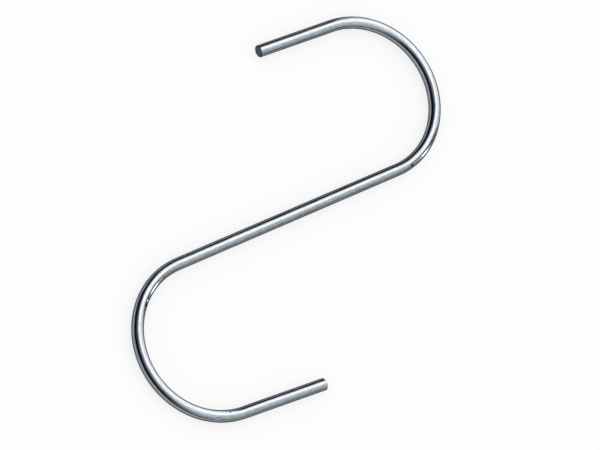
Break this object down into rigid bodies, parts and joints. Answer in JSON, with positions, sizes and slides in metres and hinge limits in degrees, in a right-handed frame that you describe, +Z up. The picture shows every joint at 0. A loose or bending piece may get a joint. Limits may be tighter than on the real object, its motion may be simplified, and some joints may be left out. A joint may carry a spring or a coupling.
{
  "type": "s hook",
  "caption": "Wire S hook: a straight shank with a wide round hook at either end, facing opposite ways, to hang things from a rail or rack.",
  "frame": {"origin": "under the middle of the hook's outline, on the surface that the hook lies flat on", "axes": "+X along the straight shank towards the upper hook, +Y in the plane of the hook towards the upper hook's arm, +Z up, square to the plane of the hook"},
  "size_m": [0.14, 0.1084, 0.004],
  "materials": {
    "plated_steel": "gloss"
  },
  "bodies": {
    "root": {"s_hook": "plated_steel"}
  },
  "joints": []
}
